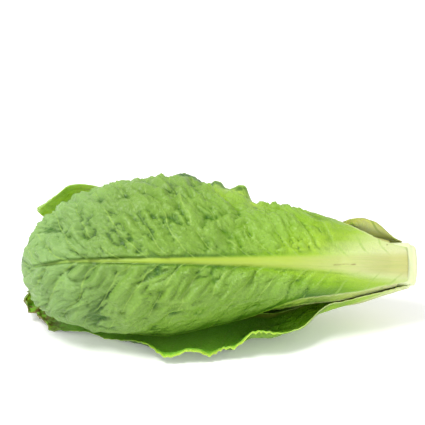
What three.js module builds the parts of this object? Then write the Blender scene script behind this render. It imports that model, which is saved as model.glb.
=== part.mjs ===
// A romaine lettuce head lying on its side: a cut stem and 24 leaves, wrapped round it in layers.
//
// Millimetres, +Z up. The head lies along X, with the cut end of the stem towards +X and the leaf tips
// towards -X, on the surface z = 0. Every point of a leaf is given by three numbers:
//   station  how far along the head's outline it is, from the cut face over the belly to the tip
//   azimuth  the way out from the head's axis, in degrees: 0 is -Y, 90 is up, 180 is +Y and -90 is down
//   depth    how far out it is along the straight spoke that runs from the axis to the outline there
// The leaves are stacked outwards along the spokes. Each one clears all the leaves inside it by their
// thicknesses and gaps, so no two of them can meet.
import * as THREE from "three";

// The head's outline
const HEAD_LENGTH = 268; // cut face to the furthest point of the round tip
const BELLY_STATION = 174; // cut face to the widest section
const BELLY_RADIUS = 58.5;
const NECK_RADIUS = 16; // at the cut face
const NECK_SHARE = 0.62; // how much of the way to BELLY_RADIUS the neck reaches
const NECK_END = 0.7; // where the neck stops widening, as a share of BELLY_STATION
const BELLY_START = 0.58; // where the belly starts to swell, as a share of BELLY_STATION
const WIDTH_SCALE = 1.03; // the section is wider than it is high, because the head lies down
const HEIGHT_SCALE = 0.93;
const AXIS_HEIGHT = 46; // under BELLY_RADIUS * HEIGHT_SCALE, so the underside is pressed flat
const NECK_DROP = 2.5; // how much lower the axis is at the cut face
const SPOKE_CROWD = 0.56; // spokes of the round tip leave the axis closer together than they arrive
const FLOOR_BLEND = 3; // width of the bend where the section meets the surface
const PRESSED = 1.8; // the underside is pressed flat up to this height

// The stem
const STEM_RADIUS = 13.5;
const STEM_LENGTH = 76;
const STEM_SIDES = 24;
const STEM_RINGS = 8;
const STEM_BEVEL = 1.5; // round the cut face

// The leaves
const LEAF_COUNT = 24;
const GOLDEN_ANGLE = 137.5; // from one leaf's midrib to the next one's
const FIRST_START = 5; // station where the lowest leaf leaves the stem
const START_STEP = 2.3; // from one leaf's start to the next one's
const BLADE = 1; // thickness away from the midrib
const RIB_HEIGHT = 4.8; // how far the midrib of an outer leaf stands out near its base
const RIB_RISE = 34; // how far from the leaf's start the midrib reaches its full height
const RIB_HALF_WIDTH = 15;
const STEM_GAP = 0.6; // between the stem and a leaf's base
const HEART_RADIUS = 4; // clear space round the axis beyond the stem
const NECK_GAP = 0.65; // least gap between two leaves in the neck
const LEAST_GAP = 1.35; // least gap between two leaves in the belly
const MOST_GAP = 18;
const EDGE_FADE = 50; // degrees over which a leaf stops holding up the leaves outside it
const END_FADE = 28; // the same past the leaf's end
const START_FADE = 16; // the same before its start

const radians = THREE.MathUtils.degToRad;
const smooth = THREE.MathUtils.smoothstep; // (value, low, high)
const mix = THREE.MathUtils.lerp;

// The outline of the head as (distance from the cut face, radius): a quarter sine for the neck with the
// belly's swell added to it, then a quarter ellipse.
class Outline extends THREE.Curve {
  getPoint(q, target = new THREE.Vector2()) {
    const u = Math.min(q * 2, 1);
    const neck = NECK_SHARE * Math.sin(Math.min(u / NECK_END, 1) * (Math.PI / 2));
    const belly = (1 - NECK_SHARE) * smooth(u, BELLY_START, 1);
    const dome = Math.max(q * 2 - 1, 0) * (Math.PI / 2);
    return target.set(
      BELLY_STATION * u + (HEAD_LENGTH - BELLY_STATION) * Math.sin(dome),
      mix(NECK_RADIUS, BELLY_RADIUS, neck + belly) * Math.cos(dome),
    );
  }
}

const outline = new Outline();
outline.arcLengthDivisions = 600;
const OUTLINE_LENGTH = outline.getLength();

// All leaves have their rows of points at the same stations, so that their flat facets stay parallel.
const ROW_STEP = OUTLINE_LENGTH / 22;

const axisHeight = (along) =>
  AXIS_HEIGHT - NECK_DROP * Math.max(1 - along / BELLY_STATION, 0) ** 2;

// The spoke at a station and azimuth: where it starts, its direction, and its length to the outline.
function spoke(station, azimuth) {
  const rim = outline.getPointAt(Math.min(station / OUTLINE_LENGTH, 1));
  const past = Math.max(rim.x - BELLY_STATION, 0);
  const foot = rim.x - past * (1 - SPOKE_CROWD);
  const angle = radians(azimuth);
  const start = new THREE.Vector3(-foot, 0, axisHeight(foot));
  const end = new THREE.Vector3(
    -rim.x,
    -WIDTH_SCALE * rim.y * Math.cos(angle),
    axisHeight(rim.x) + HEIGHT_SCALE * rim.y * Math.sin(angle),
  );
  const way = end.sub(start);
  const free = way.length();
  way.divideScalar(free);
  // How far down the spoke the surface at height z is, and never when it points up.
  const toHeight = (z) => (way.z < -0.05 ? (start.z - z) / -way.z : Infinity);
  return { start, way, along: foot, free, toHeight };
}

// The smaller of two lengths, rounded off where they are nearly the same.
function softMin(a, b, width) {
  const near = Math.max(width - Math.abs(a - b), 0) / width;
  return Math.min(a, b) - (near * near * width) / 4;
}

const reach = (s) =>
  Number.isFinite(s.toHeight(0)) ? softMin(s.free, s.toHeight(0), FLOOR_BLEND) : s.free;

const stemRadius = (along) =>
  STEM_RADIUS * Math.sqrt(Math.max(1 - (along / STEM_LENGTH) ** 1.6, 0));

// The difference of two azimuths, from -180 to 180 degrees.
const turn = (a, b) => THREE.MathUtils.euclideanModulo(a - b + 180, 360) - 180;

// One side of a leaf: half-span in degrees at the base and at its widest, and where it widens, as
// shares of the leaf's length. `late` is the half-span it draws in to before the tip.
const side = (base, full, from, to, late = full) => ({ base, full, from, to, late });

// The six outer leaves have been pushed about, so each has its own place. The first is the outermost.
// `up` is the side towards a larger azimuth, and `down` the side towards a smaller one.
const OUTER_LEAVES = [
  {
    name: "bottom_leaf", // lies along the surface under the head, its near margin and its tip spread out
    azimuth: -100,
    end: 276,
    up: side(62, 58, 0.16, 0.34, 36),
    down: side(36, 78, 0.15, 0.55),
    lift: layFlat,
  },
  {
    name: "front_leaf", // the broad one that faces -Y
    azimuth: 29,
    end: 290,
    up: side(46, 92, 0.02, 0.3, 86),
    down: side(46, 74, 0.26, 0.42, 90),
    bluntness: 0.5,
    lift: closeOver,
  },
  {
    name: "top_leaf",
    azimuth: 140,
    end: 256,
    up: side(38, 66, 0.2, 0.55),
    down: side(34, 46, 0.2, 0.5, 26),
    lift: flareTopLeaf,
  },
  {
    name: "back_leaf",
    azimuth: -155,
    end: 276,
    up: side(38, 78, 0.2, 0.55),
    down: side(40, 82, 0.15, 0.55),
  },
  {
    name: "front_under_leaf",
    azimuth: 5,
    end: 262,
    up: side(35, 85, 0.2, 0.55),
    down: side(42, 60, 0.3, 0.6),
  },
  {
    name: "back_under_leaf",
    azimuth: -118,
    end: 262,
    up: side(36, 84, 0.2, 0.55),
    down: side(36, 84, 0.2, 0.55),
  },
];

// A leaf's own lift off the leaf inside it, in mm, from its spoke, the share of its length, and the
// share of its half-span, which is positive on the `up` side. Nothing lies outside it where it lifts.

// The bottom leaf hugs the neck, then follows the surface instead of the belly, and rises to its near
// margin and its tip.
const FURTHEST_LAID = 30;
function layFlat(s, share, across, depth) {
  const front = smooth(across, -0.4, 0.15) * smooth(share, 0.24, 0.4) * (1 - smooth(share, 0.62, 0.78));
  const tip = smooth(share, 0.8, 0.94) * smooth(across, -0.9, -0.3);
  const laid = Math.min(s.toHeight(6 * smooth(across, 0.72, 1) + BLADE) - depth, FURTHEST_LAID);
  const hug = smooth(across, 0.3, 0.9) * (1 - smooth(share, 0.2, 0.32));
  return Math.max(laid, 0) * front + 8 * tip - 2 * hug;
}

// The front leaf closes over the head's round tip, as its outermost layer there. Its top margin stands a
// little off the head halfway along.
function closeOver(s, share, across, depth) {
  const margin = smooth(across, 0.6, 1) * smooth(share, 0.36, 0.44) * (1 - smooth(share, 0.52, 0.7));
  return 4 * margin + Math.max(reach(s) - 3 - depth, 0) * smooth(share, 0.66, 0.9);
}

// The top leaf's front margin stands away from the neck, and its tip hasn't closed over the head.
function flareTopLeaf(s, share, across) {
  const neck = smooth(-across, 0.1, 1) * smooth(share, 0.01, 0.08) * (1 - smooth(share, 0.1, 0.2));
  const tip = smooth(share, 0.8, 1) * (1 - smooth(across, 0.3, 0.9));
  return 8 * neck + 15 * tip;
}

// The heart leaves follow each other round the stem by the golden angle. They get shorter, wrap
// further round and get lighter ribs towards the middle.
function heartLeaf(index) {
  const inward = (index - OUTER_LEAVES.length) / (LEAF_COUNT - 1 - OUTER_LEAVES.length);
  const full = mix(90, 112, inward);
  return {
    name: "heart_leaf_" + String(index + 1 - OUTER_LEAVES.length).padStart(2, "0"),
    azimuth: OUTER_LEAVES.at(-1).azimuth - GOLDEN_ANGLE * (index + 1 - OUTER_LEAVES.length),
    end: mix(262, 128, inward ** 1.35),
    up: side(40, full, 0.15, 0.6),
    down: side(40, full, 0.15, 0.6),
    ribScale: mix(0.7, 0.25, inward),
    columns: 10,
  };
}

// Each leaf starts at its own station and ends on a row.
function makeLeaf(index) {
  const own = OUTER_LEAVES[index] ?? heartLeaf(index);
  const start = FIRST_START + START_STEP * index;
  const end = Math.round(own.end / ROW_STEP) * ROW_STEP;
  const firstRow = Math.ceil((start + ROW_STEP * 0.4) / ROW_STEP);
  const stations = [start];
  for (let row = firstRow; row * ROW_STEP < end + 1; row++) stations.push(row * ROW_STEP);
  return { lift: () => 0, bluntness: 0.9, ribScale: 1, columns: 14, ...own, start, end, stations };
}

const leaves = Array.from({ length: LEAF_COUNT }, (_, index) => makeLeaf(index));

const shareOf = (leaf, station) => (station - leaf.start) / (leaf.end - leaf.start);

// Half-span in degrees on one side, rounding off towards a blunt tip.
const TIP_FROM = 0.72;
function halfSpan(leaf, share, upwards) {
  const s = upwards ? leaf.up : leaf.down;
  const inTip = leaf.bluntness * THREE.MathUtils.clamp((share - TIP_FROM) / (1 - TIP_FROM), 0, 1);
  const grown = mix(s.base, s.full, smooth(share, s.from, s.to));
  return mix(grown, s.late, smooth(share, 0.62, 0.8)) * Math.sqrt(1 - inTip ** 2);
}

// How high the midrib stands, and how wide it is, at a share of the leaf's length.
const ribHeight = (leaf, share) =>
  leaf.ribScale * RIB_HEIGHT * Math.max(1 - share, 0) ** 1.5 *
  mix(0.15, 1, smooth(share * (leaf.end - leaf.start), 0, RIB_RISE));
const ribHalfWidth = (leaf, share) =>
  2.5 + leaf.ribScale * (RIB_HALF_WIDTH - 2.5) * Math.max(1 - share, 0) ** 1.3;

function thickness(leaf, share, offset) {
  const x = Math.min(Math.abs(offset) / ribHalfWidth(leaf, share), 1);
  return BLADE + ribHeight(leaf, share) * (1 - x * x);
}

// The room a leaf takes in the stack: its thickness, with the midrib spread to a broad swell that the
// leaves outside it can follow. It fades to nothing past the margins.
const SWELL = 14;
function room(leaf, station, azimuth, radius) {
  const share = THREE.MathUtils.clamp(shareOf(leaf, station), 0, 1);
  const off = turn(azimuth, leaf.azimuth);
  const beyond = Math.max(Math.abs(off) - halfSpan(leaf, share, off > 0), 0);
  const before = Math.max(leaf.start - station, 0);
  const past = Math.max(station - leaf.end, 0);
  const along = (1 - smooth(before, 0, START_FADE)) * (1 - smooth(past, 0, END_FADE));
  const held = (1 - smooth(beyond, 0, EDGE_FADE)) * along;
  const x = Math.min(
    (Math.abs(radians(off)) * radius) / (ribHalfWidth(leaf, share) + SWELL),
    1,
  );
  return { held, thick: BLADE + ribHeight(leaf, share) * (1 - x * x) ** 2 * 1.25 };
}

// Depth of a leaf's inner face at a station and azimuth.
function innerDepth(index, station, azimuth, s) {
  const core = Math.max(stemRadius(s.along) + STEM_GAP, HEART_RADIUS);
  const length = reach(s);
  const radius = Math.max(length, 8);
  let count = 0;
  let solid = 0;
  let countInside = 0;
  let solidInside = 0;
  leaves.forEach((leaf, other) => {
    const { held, thick } = room(leaf, station, azimuth, radius);
    count += held;
    solid += held * thick;
    if (other > index) {
      countInside += held;
      solidInside += held * thick;
    }
  });
  const gap = THREE.MathUtils.clamp(
    (length - core - solid) / Math.max(count - 0.7, 0.3),
    mix(NECK_GAP, LEAST_GAP, smooth(station, 50, 120)),
    MOST_GAP,
  );
  return core + solidInside + gap * countInside;
}

// The point of a leaf at a station and a share of its span, on its inner or its outer face.
function leafPoint(index, station, across, outer) {
  const leaf = leaves[index];
  const share = shareOf(leaf, station);
  const off = across * halfSpan(leaf, share, across > 0);
  const azimuth = leaf.azimuth + off;
  const s = spoke(station, azimuth);
  let depth = innerDepth(index, station, azimuth, s);
  depth += leaf.lift(s, share, across, depth);
  if (outer) depth += thickness(leaf, share, radians(off) * reach(s));
  const point = s.start.clone().addScaledVector(s.way, depth);
  point.z = Math.max(point.z, outer ? PRESSED : PRESSED + BLADE);
  return point;
}

// A closed solid from a grid of points on two faces: outer face, inner face and the wall round them.
function leafGeometry(index) {
  const { stations, columns } = leaves[index];
  const rows = stations.length - 1;
  const vertices = [];
  for (const outer of [true, false])
    for (const station of stations)
      for (let j = 0; j <= columns; j++)
        vertices.push(leafPoint(index, station, (2 * j) / columns - 1, outer));
  const perFace = (rows + 1) * (columns + 1);
  const at = (i, j, outer) => i * (columns + 1) + j + (outer ? 0 : perFace);
  const triangles = [];
  const quad = (a, b, c, d) => triangles.push(a, b, c, a, c, d);
  for (let i = 0; i < rows; i++)
    for (let j = 0; j < columns; j++) {
      quad(at(i, j, true), at(i, j + 1, true), at(i + 1, j + 1, true), at(i + 1, j, true));
      quad(at(i, j, false), at(i + 1, j, false), at(i + 1, j + 1, false), at(i, j + 1, false));
    }
  for (let i = 0; i < rows; i++) {
    quad(at(i, 0, true), at(i + 1, 0, true), at(i + 1, 0, false), at(i, 0, false));
    quad(at(i, columns, false), at(i + 1, columns, false), at(i + 1, columns, true), at(i, columns, true));
  }
  for (let j = 0; j < columns; j++) {
    quad(at(0, j, false), at(0, j + 1, false), at(0, j + 1, true), at(0, j, true));
    quad(at(rows, j, true), at(rows, j + 1, true), at(rows, j + 1, false), at(rows, j, false));
  }
  const geometry = new THREE.BufferGeometry().setFromPoints(vertices);
  geometry.setIndex(triangles);
  geometry.computeVertexNormals();
  return geometry;
}

// The stem as a turned solid: a bevelled cut face, then a taper to a round growing tip.
function stemGeometry() {
  const profile = [new THREE.Vector2(0, 0), new THREE.Vector2(STEM_RADIUS - STEM_BEVEL, 0)];
  for (let i = 0; i < STEM_RINGS; i++) {
    const along = STEM_BEVEL + (STEM_LENGTH - STEM_BEVEL) * Math.sin((i / STEM_RINGS) * (Math.PI / 2));
    profile.push(new THREE.Vector2(stemRadius(along), along));
  }
  profile.push(new THREE.Vector2(0, STEM_LENGTH));
  const geometry = new THREE.LatheGeometry(profile, STEM_SIDES);
  geometry.rotateZ(Math.PI / 2); // the lathe's axis becomes -X, from the cut face to the tip
  // Each ring moves to the height of the head's axis there.
  const position = geometry.getAttribute("position");
  for (let i = 0; i < position.count; i++)
    position.setZ(i, position.getZ(i) + axisHeight(-position.getX(i)));
  return geometry;
}

const LEAF_GREEN = new THREE.Color(0x6fa03c);
const HEART_YELLOW = new THREE.Color(0xd3dc86);
const STEM_PALE = new THREE.Color(0xe3e8bf);

const plain = (color) => new THREE.MeshStandardMaterial({ color, roughness: 0.5, metalness: 0 });

const head = new THREE.Group();
head.name = "romaine_head";

const stem = new THREE.Mesh(stemGeometry(), plain(STEM_PALE));
stem.name = "stem";
head.add(stem);

leaves.forEach((leaf, index) => {
  const inward = index / (LEAF_COUNT - 1);
  const mesh = new THREE.Mesh(
    leafGeometry(index),
    plain(LEAF_GREEN.clone().lerp(HEART_YELLOW, inward)),
  );
  mesh.name = leaf.name;
  head.add(mesh);
});

// The origin is at the bottom centre of the whole head.
const box = new THREE.Box3().setFromObject(head);
head.position.set(-(box.min.x + box.max.x) / 2, -(box.min.y + box.max.y) / 2, -box.min.z);

export default head;
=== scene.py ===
"""A romaine lettuce head lying on its side: a cut stem and 24 leaves, wrapped round it in layers.

The head lies along X, with the cut end of the stem towards +X and the leaf tips towards -X. A point of a leaf
is given by its station along the head's outline, its azimuth round the head's axis and its depth along the
straight spoke that runs from the axis to the outline. Lengths are worked out in millimetres and azimuths in
degrees, and both become metres in the row frame when a mesh is made.
"""

import logging
import math
from dataclasses import dataclass, field, replace
from enum import Enum

import bpy
import numpy as np
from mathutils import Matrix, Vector


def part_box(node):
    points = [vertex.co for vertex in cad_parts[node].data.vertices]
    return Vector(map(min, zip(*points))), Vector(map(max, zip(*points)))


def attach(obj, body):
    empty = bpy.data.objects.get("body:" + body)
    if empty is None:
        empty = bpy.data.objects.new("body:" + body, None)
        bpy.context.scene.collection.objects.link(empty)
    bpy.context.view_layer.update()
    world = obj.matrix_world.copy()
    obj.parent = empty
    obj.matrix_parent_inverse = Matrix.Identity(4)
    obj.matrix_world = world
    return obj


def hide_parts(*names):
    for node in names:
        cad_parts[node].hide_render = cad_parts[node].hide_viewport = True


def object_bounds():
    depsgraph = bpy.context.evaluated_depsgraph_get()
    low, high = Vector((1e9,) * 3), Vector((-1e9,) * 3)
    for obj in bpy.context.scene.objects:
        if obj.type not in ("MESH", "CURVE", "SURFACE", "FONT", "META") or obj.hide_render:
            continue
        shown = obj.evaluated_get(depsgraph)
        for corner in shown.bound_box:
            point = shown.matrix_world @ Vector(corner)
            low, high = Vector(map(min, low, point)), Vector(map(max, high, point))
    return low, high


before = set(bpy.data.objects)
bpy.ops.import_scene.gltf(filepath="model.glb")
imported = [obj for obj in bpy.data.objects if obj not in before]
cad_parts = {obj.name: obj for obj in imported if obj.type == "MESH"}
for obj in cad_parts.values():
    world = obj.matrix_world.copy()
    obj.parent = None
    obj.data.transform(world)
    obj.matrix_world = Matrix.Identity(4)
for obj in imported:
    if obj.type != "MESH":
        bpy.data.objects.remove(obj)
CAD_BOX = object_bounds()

MM = 0.001
LATTICE = 64  # cells of random numbers before a noise repeats
log = logging.getLogger("romaine")

Array = np.ndarray


# ---------------------------------------------------------------- numbers and noise


def smooth(value: Array | float, low: float, high: float) -> Array:
    """A smooth step from 0 at low to 1 at high: t * t * (3 - 2 t)."""
    t = np.clip((value - low) / (high - low), 0, 1)
    return t * t * (3 - 2 * t)


def band(value: Array, low: float, full: float, fading: float, end: float) -> Array:
    """A smooth step up from low to full, times one down from fading to end."""
    return smooth(value, low, full) * (1 - smooth(value, fading, end))


def mix(a: Array | float, b: Array | float, share: Array | float) -> Array:
    """The value that lies at a share of the way from a to b."""
    return a + (b - a) * share


def turn(a: Array, b: float) -> Array:
    """The difference of two azimuths, from -180 to 180 degrees."""
    return np.mod(a - b + 180, 360) - 180


def wave_noise(x: Array, y: Array | float, seed: int) -> Array:
    """Smooth random hills with one value per unit cell.

    Each corner of a square lattice gets a random height, and the four corners round a point are blended by
    smooth steps of its place between them.

    Args:
        x: first coordinate, in cells.
        y: second coordinate, in cells.
        seed: which set of heights.

    Returns:
        Heights from -1 to 1.
    """
    heights = np.random.default_rng(seed).uniform(-1, 1, (LATTICE, LATTICE))
    x, y = np.broadcast_arrays(np.asarray(x, float), np.asarray(y, float))
    i, j = np.floor(x).astype(int), np.floor(y).astype(int)
    u, v = smooth(x - i, 0, 1), smooth(y - j, 0, 1)
    i0, i1, j0, j1 = i % LATTICE, (i + 1) % LATTICE, j % LATTICE, (j + 1) % LATTICE
    low = mix(heights[i0, j0], heights[i1, j0], u)
    high = mix(heights[i0, j1], heights[i1, j1], u)
    return mix(low, high, v)


def cell_noise(x: Array, y: Array, seed: int) -> Array:
    """Irregular cells, one for each random seed point of a square lattice.

    Args:
        x: first coordinate, in cells.
        y: second coordinate, in cells.
        seed: which set of seed points.

    Returns:
        How much further the second nearest seed point is than the nearest, which is 0 on the walls.
    """
    jitter_x, jitter_y = np.random.default_rng(seed).random((2, LATTICE, LATTICE))
    i, j = np.floor(x).astype(int), np.floor(y).astype(int)
    nearest = np.full(x.shape, 9.0)
    second = nearest
    for di in (-1, 0, 1):
        for dj in (-1, 0, 1):
            a, b = (i + di) % LATTICE, (j + dj) % LATTICE
            away = np.hypot(i + di + jitter_x[a, b] - x, j + dj + jitter_y[a, b] - y)
            second = np.minimum(second, np.maximum(nearest, away))
            nearest = np.minimum(nearest, away)
    return second - nearest


# ---------------------------------------------------------------- the head's outline and spokes


@dataclass(frozen=True)
class Spokes:
    """Straight lines from the head's axis to its outline, one for each point of an array."""

    start: Array
    way: Array
    along: Array
    free: Array

    least_slope = 0.05
    very_far = 1e6

    def to_height(self, z: Array | float) -> Array:
        """How far down each spoke the height z is, and very far when it points up.

        Args:
            z: height over the surface.

        Returns:
            The drop to that height over the spoke's slope.
        """
        down = self.way[..., 2] < -self.least_slope
        slope = np.where(down, -self.way[..., 2], 1.0)
        return np.where(down, (self.start[..., 2] - z) / slope, self.very_far)

    def point(self, depth: Array) -> Array:
        """The points at these depths."""
        return self.start + self.way * depth[..., None]

    def reach(self, blend: float) -> Array:
        """The spoke's length to the outline or to the surface below, rounded off where the two are near.

        Args:
            blend: how near the two lengths are where the rounding starts.

        Returns:
            The smaller of the two lengths, less a quarter of the blend where they are the same.
        """
        to_floor = self.to_height(0.0)
        near = np.maximum(blend - np.abs(self.free - to_floor), 0) / blend
        return np.minimum(self.free, to_floor) - near * near * blend / 4


@dataclass(frozen=True)
class Head:
    """The head's outline and the stem's size, in millimetres."""

    length: float = 268
    belly_station: float = 174
    belly_radius: float = 58.5
    neck_radius: float = 16
    neck_share: float = 0.62
    neck_end: float = 0.7
    belly_start: float = 0.58
    width_scale: float = 1.03
    height_scale: float = 0.93
    axis_height: float = 46
    neck_drop: float = 2.5
    spoke_crowd: float = 0.56
    floor_blend: float = 3
    pressed: float = 1.8
    stem_radius: float = 13.5
    stem_length: float = 76
    row_count: int = 22
    outline_points: int = 601

    def profile(self, q: Array) -> tuple[Array, Array]:
        """Distance from the cut face, and radius: a quarter sine, the belly's swell and a quarter ellipse.

        Args:
            q: the outline's parameter, from 0 at the cut face over 0.5 at the belly to 1 at the tip.

        Returns:
            The distance and the radius, in millimetres.
        """
        u = np.minimum(q * 2, 1)
        dome = np.maximum(q * 2 - 1, 0) * (math.pi / 2)
        neck = self.neck_share * np.sin(np.minimum(u / self.neck_end, 1) * (math.pi / 2))
        belly = (1 - self.neck_share) * smooth(u, self.belly_start, 1)
        x = self.belly_station * u + (self.length - self.belly_station) * np.sin(dome)
        r = mix(self.neck_radius, self.belly_radius, neck + belly) * np.cos(dome)
        return x, r

    def lengths(self) -> tuple[Array, Array]:
        """Measures the outline by straight steps.

        Returns:
            The outline's parameter at each step, and the length up to it.
        """
        q = np.linspace(0, 1, self.outline_points)
        x, r = self.profile(q)
        steps = np.hypot(np.diff(x), np.diff(r))
        return q, np.concatenate([[0.0], np.cumsum(steps)])

    @property
    def outline_length(self) -> float:
        """Length of the outline from the cut face to the tip."""
        return float(self.lengths()[1][-1])

    @property
    def row_step(self) -> float:
        """The step that leaf ends are rounded to."""
        return self.outline_length / self.row_count

    def axis_at(self, along: Array | float) -> Array:
        """Height of the axis: level from the belly on, and lower towards the cut face by a square law."""
        return self.axis_height - self.neck_drop * np.maximum(1 - along / self.belly_station, 0) ** 2

    def spokes(self, station: Array, azimuth: Array) -> Spokes:
        """The spokes at these stations and azimuths.

        Past the belly a spoke leaves the axis nearer the belly than where it arrives, so that the spokes fan
        out over the round tip.

        Args:
            station: distance along the outline from the cut face.
            azimuth: degrees round the axis, 0 towards -Y and 90 up.

        Returns:
            Spokes of the same shape as the two arrays.
        """
        q, lengths = self.lengths()
        x, r = self.profile(np.interp(np.minimum(station, lengths[-1]), lengths, q))
        foot = x - np.maximum(x - self.belly_station, 0) * (1 - self.spoke_crowd)
        angle = np.radians(azimuth)
        start = np.stack([-foot, np.zeros_like(foot), self.axis_at(foot)], -1)
        sideways = -self.width_scale * r * np.cos(angle)
        upwards = self.height_scale * r * np.sin(angle)
        way = np.stack([-x, sideways, self.axis_at(x) + upwards], -1) - start
        free = np.linalg.norm(way, axis=-1)
        return Spokes(start, way / np.maximum(free, 1e-6)[..., None], foot, free)

    def reach(self, spokes: Spokes) -> Array:
        """How far the head reaches along each spoke."""
        return spokes.reach(self.floor_blend)

    def stem_radius_at(self, along: Array) -> Array:
        """The stem's radius, tapering to a round growing tip."""
        return self.stem_radius * np.sqrt(np.maximum(1 - (along / self.stem_length) ** 1.6, 0))


# ---------------------------------------------------------------- leaves and how they are stacked


class Lift(Enum):
    """How a leaf stands off the leaf inside it."""

    NONE = "none"
    LAY_FLAT = "lay_flat"
    CLOSE_OVER = "close_over"
    FLARE = "flare"


@dataclass(frozen=True)
class Side:
    """Half-span of one side of a leaf in degrees: at the base, at its widest, and before the tip."""

    base: float
    full: float
    start: float
    stop: float
    late: float | None = None


@dataclass(frozen=True)
class Surface:
    """Relief and cut of a leaf, in millimetres."""

    quilt: float = 1.5
    pillow: float = 1.1
    ruffle: float = 2.4
    ruffle_length: float = 17
    teeth: float = 0.7
    roll: float = 1.2
    tip_round: float = 0.15


@dataclass(frozen=True)
class LeafPlan:
    """Place, size and relief of one leaf."""

    name: str
    index: int
    azimuth: float
    end: float
    up: Side
    down: Side
    lift: Lift = Lift.NONE
    bluntness: float = 0.9
    rib_scale: float = 1.0
    rows: int = 120
    columns: int = 80
    browned_neck: bool = False
    surface: Surface = field(default_factory=Surface)

    first_start = 5.0
    start_step = 2.3
    rib_height = 4.8
    rib_rise = 34.0
    rib_half_width = 15.0
    rib_least = 2.5
    blade = 1.0
    late_from = 0.62
    late_full = 0.8
    tip_from = 0.72
    swell = 14.0

    @property
    def start(self) -> float:
        """Station where the leaf leaves the stem."""
        return self.first_start + self.start_step * self.index

    def half_span(self, share: Array, upwards: Array) -> Array:
        """Half-span in degrees on one side, rounding off towards a blunt tip.

        Args:
            share: share of the leaf's length.
            upwards: True on the side of larger azimuths.

        Returns:
            The side's smooth growth from base to full, drawn in to its late value before the tip, times a
            quarter ellipse over the tip.
        """
        in_tip = self.bluntness * np.clip((share - self.tip_from) / (1 - self.tip_from), 0, 1)
        spans = []
        for side in (self.up, self.down):
            grown = mix(side.base, side.full, smooth(share, side.start, side.stop))
            late = side.full if side.late is None else side.late
            spans.append(mix(grown, late, smooth(share, self.late_from, self.late_full)))
        return np.where(upwards, spans[0], spans[1]) * np.sqrt(1 - in_tip**2)

    def rib_height_at(self, share: Array) -> Array:
        """How high the midrib stands at a share of the leaf's length."""
        risen = mix(0.15, 1, smooth(share * (self.end - self.start), 0, self.rib_rise))
        return self.rib_scale * self.rib_height * np.maximum(1 - share, 0) ** 1.5 * risen

    def rib_half_width_at(self, share: Array) -> Array:
        """Half-width of the midrib at a share of the leaf's length."""
        fat = self.rib_scale * (self.rib_half_width - self.rib_least)
        return self.rib_least + fat * np.maximum(1 - share, 0) ** 1.3


class Stack:
    """Lays the leaves out in layers along the spokes, on a map of stations and azimuths.

    On each spoke the leaves inside a given one add up their thicknesses and gaps, and a leaf stops counting
    smoothly past its margins and ends. What is left of the spoke after all thicknesses is shared out as gaps.
    """

    stem_gap = 0.6
    heart_radius = 4.0
    neck_gap = 0.65
    least_gap = 1.35
    most_gap = 18.0
    edge_fade = 50.0
    end_fade = 28.0
    start_fade = 16.0
    least_reach = 8.0
    free_leaf = 0.7
    least_held = 0.3
    rib_share = 1.25
    station_count = 313
    azimuth_count = 720

    def __init__(self, head: Head, plans: list[LeafPlan]) -> None:
        """Works out every leaf's depth, and how much of it other leaves cover.

        Args:
            head: the outline.
            plans: the leaves, outermost first.
        """
        self.head = head
        stations = np.linspace(0, head.outline_length, self.station_count)
        azimuths = np.arange(self.azimuth_count) * (360 / self.azimuth_count)
        station, azimuth = np.meshgrid(stations, azimuths, indexing="ij")
        spokes = head.spokes(station, azimuth)
        reach = head.reach(spokes)
        core = np.maximum(head.stem_radius_at(spokes.along) + self.stem_gap, self.heart_radius)
        radius = np.maximum(reach, self.least_reach)
        rooms = [self.room(plan, station, azimuth, radius) for plan in plans]
        held = np.stack([r[0] for r in rooms])
        solid = held * np.stack([r[1] for r in rooms])
        gap = np.clip(
            (reach - core - solid.sum(0)) / np.maximum(held.sum(0) - self.free_leaf, self.least_held),
            mix(self.neck_gap, self.least_gap, smooth(station, 50, 120)),
            self.most_gap,
        )
        inside = np.cumsum((solid + gap * held)[::-1], 0)[::-1]
        self.inner = core + np.concatenate([inside[1:], np.zeros_like(inside[:1])])
        clear = np.cumprod(1 - held, 0)
        self.exposure = np.concatenate([np.ones_like(clear[:1]), clear[:-1]])

    def room(self, plan: LeafPlan, station: Array, azimuth: Array, radius: Array) -> tuple[Array, Array]:
        """The room a leaf takes in the stack.

        Args:
            plan: the leaf.
            station: distance along the outline.
            azimuth: degrees round the axis.
            radius: the head's reach there.

        Returns:
            How much the leaf counts, from 0 to 1, and its thickness with the midrib spread to a broad swell.
        """
        share = np.clip((station - plan.start) / (plan.end - plan.start), 0, 1)
        off = turn(azimuth, plan.azimuth)
        beyond = np.maximum(np.abs(off) - plan.half_span(share, off > 0), 0)
        before = np.maximum(plan.start - station, 0)
        past = np.maximum(station - plan.end, 0)
        held = (1 - smooth(before, 0, self.start_fade)) * (1 - smooth(past, 0, self.end_fade))
        held = held * (1 - smooth(beyond, 0, self.edge_fade))
        x = np.abs(np.radians(off)) * radius / (plan.rib_half_width_at(share) + plan.swell)
        swell = (1 - np.minimum(x, 1) ** 2) ** 2 * self.rib_share
        return held, plan.blade + plan.rib_height_at(share) * swell

    def sample(self, values: Array, station: Array, azimuth: Array) -> Array:
        """Reads a map by straight-line blending between its nearest four points, closed round in azimuth.

        Args:
            values: the map.
            station: distance along the outline.
            azimuth: degrees round the axis.

        Returns:
            The map's value at each point.
        """
        i = np.clip(station / self.head.outline_length, 0, 1) * (self.station_count - 1)
        j = np.mod(azimuth, 360) * (self.azimuth_count / 360)
        i0 = np.minimum(np.floor(i).astype(int), self.station_count - 2)
        j0 = np.floor(j).astype(int)
        u, v = i - i0, j - j0
        j0 = j0 % self.azimuth_count
        j1 = (j0 + 1) % self.azimuth_count
        near = mix(values[i0, j0], values[i0, j1], v)
        far = mix(values[i0 + 1, j0], values[i0 + 1, j1], v)
        return mix(near, far, u)


# ---------------------------------------------------------------- meshes


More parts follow.
